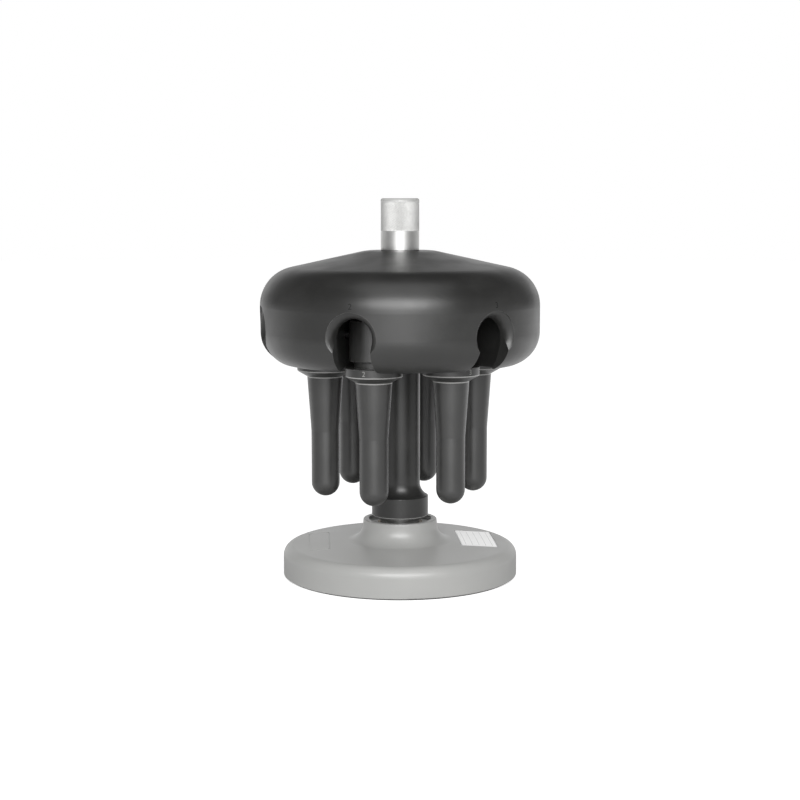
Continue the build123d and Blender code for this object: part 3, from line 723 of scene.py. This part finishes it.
# %% Close the foot and shade the grip
SHARP_TURN = math.radians(22.0)
bpy.ops.object.mode_set(mode="EDIT")
bpy.ops.mesh.select_mode(type="EDGE")
bpy.ops.mesh.select_all(action="DESELECT")
bpy.ops.mesh.select_non_manifold()
bpy.ops.mesh.edge_face_add()
bpy.ops.mesh.select_all(action="SELECT")
bpy.ops.mesh.normals_make_consistent(inside=False)
bpy.ops.object.mode_set(mode="OBJECT")
bpy.ops.object.shade_smooth_by_angle(angle=SHARP_TURN)
print("grip faces:", len(grip.data.polygons))

# %% [markdown]
# ## Finishes of the grip
#
# The plain foot is polished on the lathe. It is a true metal, so its colour is the
# colour of its reflections, and its fine rings spread them a little.

# %% Material: polished aluminium
POLISHED = (0.88, 0.88, 0.865)
POLISHED_DULL = (0.78, 0.78, 0.765)
POLISHED_ALUMINIUM, tree, shader = new_material("Polished aluminium", POLISHED,
                                                roughness=0.42, metallic=1.0)
grip_vector = object_vector(tree)
grip_rings = place_group(tree, LATHE_RINGS, grip_vector, Rings_per_metre=2200.0)
grip_marks = place_group(tree, HANDLING, grip_vector)
tree.links.new(mix_colour(tree, grip_marks.outputs["Mask"], POLISHED, POLISHED_DULL),
               shader.inputs["Base Color"])
vary_roughness(tree, shader, grip_rings.outputs["Mask"], low=0.38, high=0.46)
add_bump(tree, shader, grip_rings.outputs["Height"], distance=0.003 * MM)
grip.data.materials.append(POLISHED_ALUMINIUM)
print("slot 0:", POLISHED_ALUMINIUM.name)

# %% [markdown]
# The knurl is the same metal, but the wheel that presses it leaves a torn, dull skin
# that glitters less. A rougher shader, metallic only in part, comes closer to it.

# %% Material: knurled aluminium
KNURLED = (0.80, 0.80, 0.79)
KNURLED_DULL = (0.73, 0.73, 0.72)
KNURLED_ALUMINIUM, tree, shader = new_material("Knurled aluminium", KNURLED,
                                               roughness=0.65, metallic=0.8)
knurl_marks = place_group(tree, HANDLING, object_vector(tree))
tree.links.new(mix_colour(tree, knurl_marks.outputs["Mask"], KNURLED, KNURLED_DULL),
               shader.inputs["Base Color"])
vary_roughness(tree, shader, knurl_marks.outputs["Mask"], low=0.60, high=0.72)
grip.data.materials.append(KNURLED_ALUMINIUM)
print("slot 1:", KNURLED_ALUMINIUM.name)

# %% [markdown]
# The rounded top is blasted matt. Its colour is a little darker than the knurl's, a painted
# shade that keeps the top dim and free of a bright highlight. A very fine noise gives it the
# grain of blasted metal.

# %% Material: blasted aluminium, darkened as painted shade
# darker than the knurl: painted shade on the top
BLASTED_SHADED = (0.52, 0.52, 0.51)
BLASTED_SHADED_DULL = (0.45, 0.45, 0.44)
BLASTED_SHADED_ALUMINIUM, tree, shader = new_material("Blasted aluminium, painted shade", BLASTED_SHADED,
                                               roughness=0.85, metallic=0.4)
blast_vector = object_vector(tree)
blast_marks = place_group(tree, HANDLING, blast_vector)
tree.links.new(mix_colour(tree, blast_marks.outputs["Mask"], BLASTED_SHADED, BLASTED_SHADED_DULL),
               shader.inputs["Base Color"])
blast_grain = noise_node(tree, blast_vector, scale=4000.0, detail=2.0)
add_bump(tree, shader, blast_grain, distance=0.02 * MM)
grip.data.materials.append(BLASTED_SHADED_ALUMINIUM)
print("slot 2:", BLASTED_SHADED_ALUMINIUM.name)

# %% [markdown]
# The height of a face says which of the three finishes it gets. The grip then takes the
# place of the plain CAD handle, and rides on the rotor.

# %% Give each face its finish and set the grip on the rotor
for face in grip.data.polygons:
    if face.center.z > knurl_high + 0.1 * MM:
        face.material_index = 2
    elif face.center.z > knurl_low:
        face.material_index = 1
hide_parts("rotor_handle")
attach(grip, "rotor")
print("knurled faces:", sum(face.material_index == 1 for face in grip.data.polygons))

# %% [markdown]
# ## The place numbers
#
# Each place on the body and each bucket carries the same number, so that a bucket always goes
# back to its own hook. They are engraved. In the body the digits are near black, a painted
# shade for the engraved cut; on a bucket's collar they are filled with pale paint. Text starts
# as a curve, so it is made a mesh, cut finely, and then wrapped onto the surface by a
# Shrinkwrap modifier, which keeps every point at the same small distance from the curved
# metal.

# %% Helper: a number wrapped onto a solid
DIGIT_SHARE = 0.7  # height of a digit, as a share of the font's size
NUMBER_LIFT = 0.03 * MM  # how far the paint stands off the metal
NUMBER_CUTS = 3  # cuts per edge, so that a digit can follow the curve
SAME_POINT = 0.005 * MM  # points nearer than this are merged


def wrapped_number(name, number, high, place, facing, lean, onto):
    """A digit of a given height at a place, facing outwards at an angle and leaning back."""
    nothing_selected()
    bpy.ops.object.text_add(location=(0.0, 0.0, 0.0))
    digit = bpy.context.object
    digit.name = name
    digit.data.body = str(number)
    digit.data.align_x = "CENTER"
    digit.data.align_y = "CENTER"
    digit.data.size = high / DIGIT_SHARE
    bpy.ops.object.convert(target="MESH")
    bpy.ops.object.mode_set(mode="EDIT")
    bpy.ops.mesh.select_all(action="SELECT")
    bpy.ops.mesh.quads_convert_to_tris(ngon_method="BEAUTY")
    bpy.ops.mesh.subdivide(number_cuts=NUMBER_CUTS)
    bpy.ops.mesh.remove_doubles(threshold=SAME_POINT)
    bpy.ops.object.mode_set(mode="OBJECT")
    outwards = Matrix.Rotation(facing + math.pi / 2, 4, "Z")
    upright = Matrix.Rotation(math.pi / 2 - lean, 4, "X")
    digit.matrix_world = Matrix.Translation(place) @ outwards @ upright
    bpy.ops.object.transform_apply(location=True, rotation=True, scale=True)
    wrap = digit.modifiers.new("Onto the metal", "SHRINKWRAP")
    wrap.target = onto
    wrap.wrap_method = "NEAREST_SURFACEPOINT"
    wrap.wrap_mode = "ABOVE_SURFACE"
    wrap.offset = NUMBER_LIFT
    bpy.ops.object.modifier_apply(modifier=wrap.name)
    return digit


print("numbers stand off the metal by", round(NUMBER_LIFT / MM, 3), "mm")

# %% Materials: pale filling, and painted shade for the engraved cuts
FILLING_WORN = 0.6  # how dark the worn patches are, as a share of the colour


def engraving(name, colour, roughness):
    """Colour for an engraved line, patchy where handled: pale paint on a collar, painted shade
    in the body.
    """
    material, tree, shader = new_material(name, colour, roughness)
    marks = place_group(tree, HANDLING, object_vector(tree))
    worn = tuple(value * FILLING_WORN for value in colour)
    tree.links.new(mix_colour(tree, marks.outputs["Mask"], colour, worn),
                   shader.inputs["Base Color"])
    return material


PALE_FILL = engraving("Pale number filling", (0.30, 0.30, 0.29), 0.6)
# the body's digits are near black: painted shade for the engraved cut, which the flat digit
# only stands for
CUT_SHADE_DARK = engraving("Painted shade of number cut", (0.006, 0.006, 0.006), 0.7)
print("engraving:", PALE_FILL.name, "and", CUT_SHADE_DARK.name)

# %% [markdown]
# The numbers face outwards in line with each bucket. On the body they lean back with
# the rounded shoulder, and each rides on what it is engraved in.

# %% Number the places and the buckets
BODY_NUMBER_HIGH, BODY_NUMBER_Z = 3.7 * MM, 184.6 * MM
BODY_NUMBER_LEAN = math.radians(10.0)
COLLAR_NUMBER_HIGH, COLLAR_NUMBER_Z = 3.3 * MM, 141.0 * MM
collar_r = radius("bucket_1")
for n, axis in bucket_axis.items():
    facing = math.atan2(axis.y, axis.x)
    out = Vector((math.cos(facing), math.sin(facing), 0.0))
    on_body = wrapped_number(f"place_number_{n}", n, BODY_NUMBER_HIGH,
                             out * body_r + Vector((0.0, 0.0, BODY_NUMBER_Z)),
                             facing, BODY_NUMBER_LEAN, NODES["rotor_body"])
    on_body.data.materials.append(CUT_SHADE_DARK)
    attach(on_body, "rotor")
    on_collar = wrapped_number(f"collar_number_{n}", n, COLLAR_NUMBER_HIGH,
                               Vector((axis.x, axis.y, COLLAR_NUMBER_Z)) + out * collar_r,
                               facing, 0.0, NODES[f"bucket_{n}"])
    on_collar.data.materials.append(PALE_FILL)
    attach(on_collar, f"hung_bucket_{n}")
print("numbers made:", 2 * PLACES)

# %% [markdown]
# ## Floor
#
# The rotor stands on a plain floor that has to look white and still hold its shadow. A
# floor lit to white by lamps would need lamps that are too strong for the object. So it
# glows a little, but only for the camera, and for mirrored rays behind the object,
# where bright metal should show a white backdrop.

# %% Floor
FLOOR_RADIUS = 6.0
FLOOR_COLOUR = (0.66, 0.66, 0.66)
FLOOR_GLOW = 0.72
MIRRORED_FROM, MIRRORED_FULL = 0.0, 0.35  # how far back the glow shows in the metal
nothing_selected()
bpy.ops.mesh.primitive_circle_add(vertices=96, radius=FLOOR_RADIUS, fill_type="NGON")
floor = bpy.context.object
floor.name = "floor"
floor_material, tree, shader = new_material("White floor", FLOOR_COLOUR, roughness=0.9)
shader.inputs["Specular IOR Level"].default_value = 0.0
light_path = tree.nodes.new("ShaderNodeLightPath")
_, floor_y, _ = split_vector(tree, object_vector(tree))
behind = ramp_node(tree, floor_y, MIRRORED_FROM, MIRRORED_FULL)
mirrored = math_node(tree, "MAXIMUM", light_path.outputs["Is Glossy Ray"],
                     light_path.outputs["Is Transmission Ray"])
seen = math_node(tree, "MAXIMUM", light_path.outputs["Is Camera Ray"],
                 math_node(tree, "MULTIPLY", mirrored, behind))
glow = math_node(tree, "MULTIPLY", seen, FLOOR_GLOW)
shader.inputs["Emission Color"].default_value = (1.0, 1.0, 1.0, 1.0)
tree.links.new(glow, shader.inputs["Emission Strength"])
floor.data.materials.append(floor_material)
print("floor radius:", FLOOR_RADIUS, "m")

# %% [markdown]
# ## World
#
# The world is white for the camera. Mirrored rays see a room instead: a white backdrop
# behind, dim walls at the sides and a dark ceiling, because a black satin surface takes
# its shape from such contrasts. Diffuse rays get an even fill, weaker from above. A
# stored image of a studio could do the same, but this needs no file.

# %% World
WORLD_FILL, OVERHEAD_FILL = 0.62, 0.40  # diffuse fill from the horizon and from above
FILL_HIGH = 0.9  # Z of a direction from which the fill is weakest
ROOM_SIDES, CEILING = 0.17, 0.09
BACKDROP_EDGE, BACKDROP_FULL = 0.70, 0.88  # Y of a direction where the backdrop starts
WALL_TOP, CEILING_FROM = 0.22, 0.62  # Z of a direction where the wall turns to ceiling

world = bpy.data.worlds.new("Studio")
bpy.context.scene.world = world
world.use_nodes = True
tree = world.node_tree
tree.nodes.clear()
sky = tree.nodes.new("ShaderNodeTexCoord")
_, sky_y, sky_z = split_vector(tree, sky.outputs["Generated"])
backdrop = ramp_node(tree, sky_y, BACKDROP_EDGE, BACKDROP_FULL, ROOM_SIDES, 1.0)
under_ceiling = ramp_node(tree, sky_z, WALL_TOP, CEILING_FROM, 1.0, CEILING)
room = math_node(tree, "MULTIPLY", backdrop, under_ceiling)
light_path = tree.nodes.new("ShaderNodeLightPath")
glossy = math_node(tree, "MULTIPLY", light_path.outputs["Is Glossy Ray"], room)
through = math_node(tree, "MULTIPLY", light_path.outputs["Is Transmission Ray"], room)
seen = math_node(tree, "MAXIMUM", light_path.outputs["Is Camera Ray"], glossy)
seen = math_node(tree, "MAXIMUM", seen, through)
overhead = ramp_node(tree, sky_z, 0.0, FILL_HIGH, WORLD_FILL, OVERHEAD_FILL)
fill = math_node(tree, "MULTIPLY", light_path.outputs["Is Diffuse Ray"], overhead)
background = tree.nodes.new("ShaderNodeBackground")
background.inputs["Color"].default_value = (1.0, 1.0, 1.0, 1.0)
tree.links.new(math_node(tree, "MAXIMUM", seen, fill), background.inputs["Strength"])
world_end = tree.nodes.new("ShaderNodeOutputWorld")
tree.links.new(background.outputs[0], world_end.inputs["Surface"])
print("world nodes:", len(tree.nodes))

# %% [markdown]
# ## Lamps
#
# Three wide lamps stand in front. The strongest is high up and gives the broad streak
# across the body. One overhead softens the shadows, and a low one lights the buckets
# under the body. Their sizes set how soft a highlight is, so they are wide and near.


# %% Lamps
def soft_lamp(name, place, wide, high, power):
    """A rectangular lamp that the camera doesn't see, turned towards the object."""
    data = bpy.data.lights.new(name, "AREA")
    data.shape = "RECTANGLE"
    data.size, data.size_y = wide, high
    data.energy = power
    lamp = bpy.data.objects.new(name, data)
    bpy.context.collection.objects.link(lamp)
    lamp.location = place
    lamp.rotation_euler = (LIT_POINT - Vector(place)).to_track_quat("-Z", "Y").to_euler()
    lamp.visible_camera = False


LIT_POINT = Vector((0.0, 0.0, 0.15))
LAMPS = (  # name, place, width, height, watts
    ("front_lamp", (0.0, -1.55, 0.88), 1.6, 0.62, 22.0),
    ("overhead_lamp", (0.0, -0.6, 1.5), 1.3, 1.1, 4.0),
    ("low_front_lamp", (0.0, -1.65, 0.32), 0.9, 0.54, 3.2),
)
for lamp_values in LAMPS:
    soft_lamp(*lamp_values)
print("lamps:", len(LAMPS))

# %% [markdown]
# ## Camera
#
# The camera stands in front at the height of the handle and looks down a little, with a
# long lens, which keeps the round body from bulging. It stands a touch to one side.

# %% Camera
CAMERA_AWAY, CAMERA_UP = 1.0607, 0.2474
CAMERA_PITCH = math.radians(83.0)
CAMERA_SIDE = math.radians(-1.1)
camera_data = bpy.data.cameras.new("camera")
camera_data.lens = 72.315
camera_data.sensor_width = 36.0
camera = bpy.data.objects.new("camera", camera_data)
bpy.context.collection.objects.link(camera)
camera.location = (CAMERA_AWAY * math.sin(CAMERA_SIDE), -CAMERA_AWAY * math.cos(CAMERA_SIDE),
                   CAMERA_UP)
camera.rotation_euler = (CAMERA_PITCH, 0.0, CAMERA_SIDE)
bpy.context.scene.camera = camera
bpy.context.scene.view_settings.view_transform = "Standard"
print("lens:", camera_data.lens, "mm")
